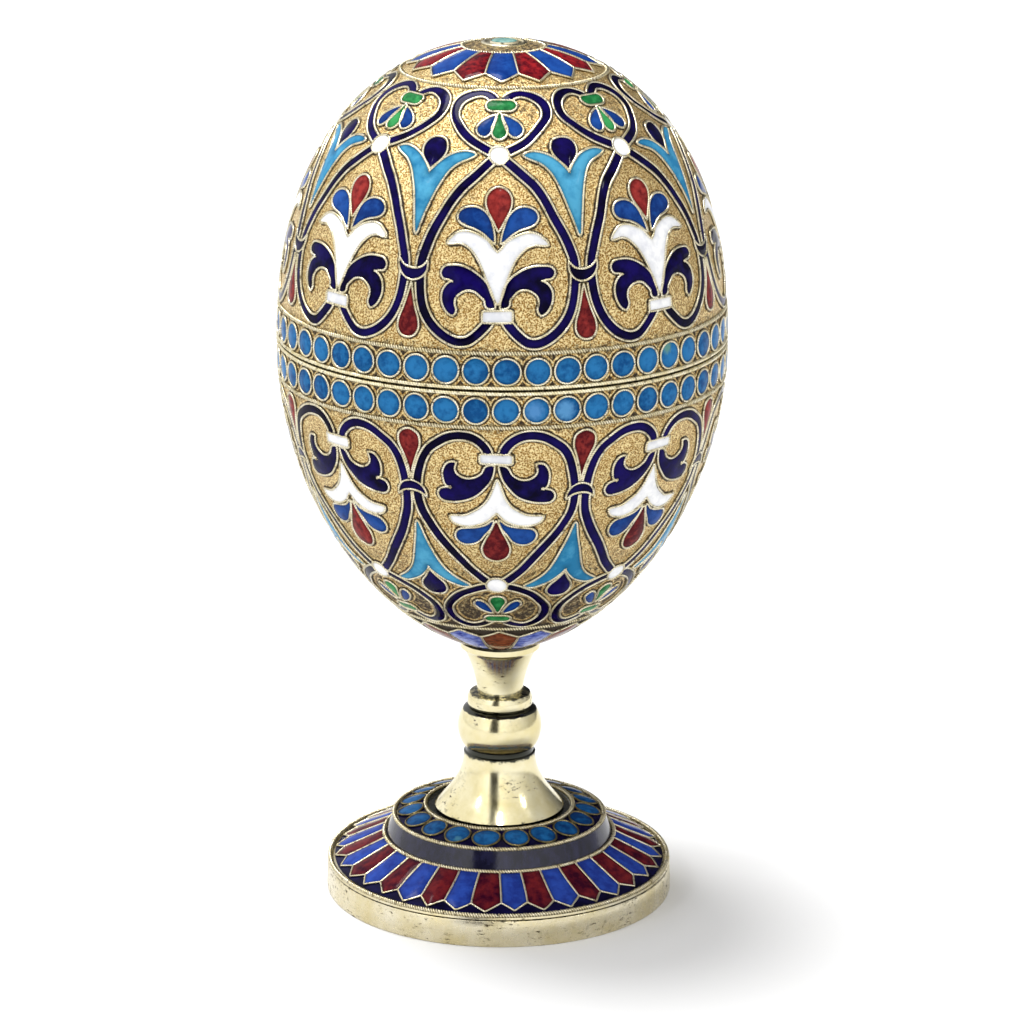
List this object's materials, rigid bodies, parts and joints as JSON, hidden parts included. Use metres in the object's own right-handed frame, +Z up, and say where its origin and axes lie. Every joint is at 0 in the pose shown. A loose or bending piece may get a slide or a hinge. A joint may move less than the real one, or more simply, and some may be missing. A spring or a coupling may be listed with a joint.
{
  "type": "enamel egg",
  "caption": "Hollow enamelled egg with a lift-off lid, fixed on a turned stem and a stepped round foot.",
  "frame": {"origin": "centre of the foot's underside, on the surface that the egg stands on", "axes": "+Z up along the egg's axis of turning; -Y faces the viewer of the picture"},
  "size_m": [0.0558, 0.0558, 0.1092],
  "materials": {
    "lid_gilt": "stippled silver gilt with twisted wire cloisons and glossy enamel",
    "bowl_gilt": "stippled silver gilt with twisted wire cloisons and glossy enamel",
    "stem_gilt": "turned and polished silver gilt, tarnished in the grooves",
    "foot_gilt": "silver gilt with enamel petals and a plain scratched rim",
    "enamel": "glossy vitreous enamel"
  },
  "bodies": {
    "root": {"lid": "lid_gilt", "bowl": "bowl_gilt", "stem": "stem_gilt", "foot": "foot_gilt"}
  },
  "joints": []
}
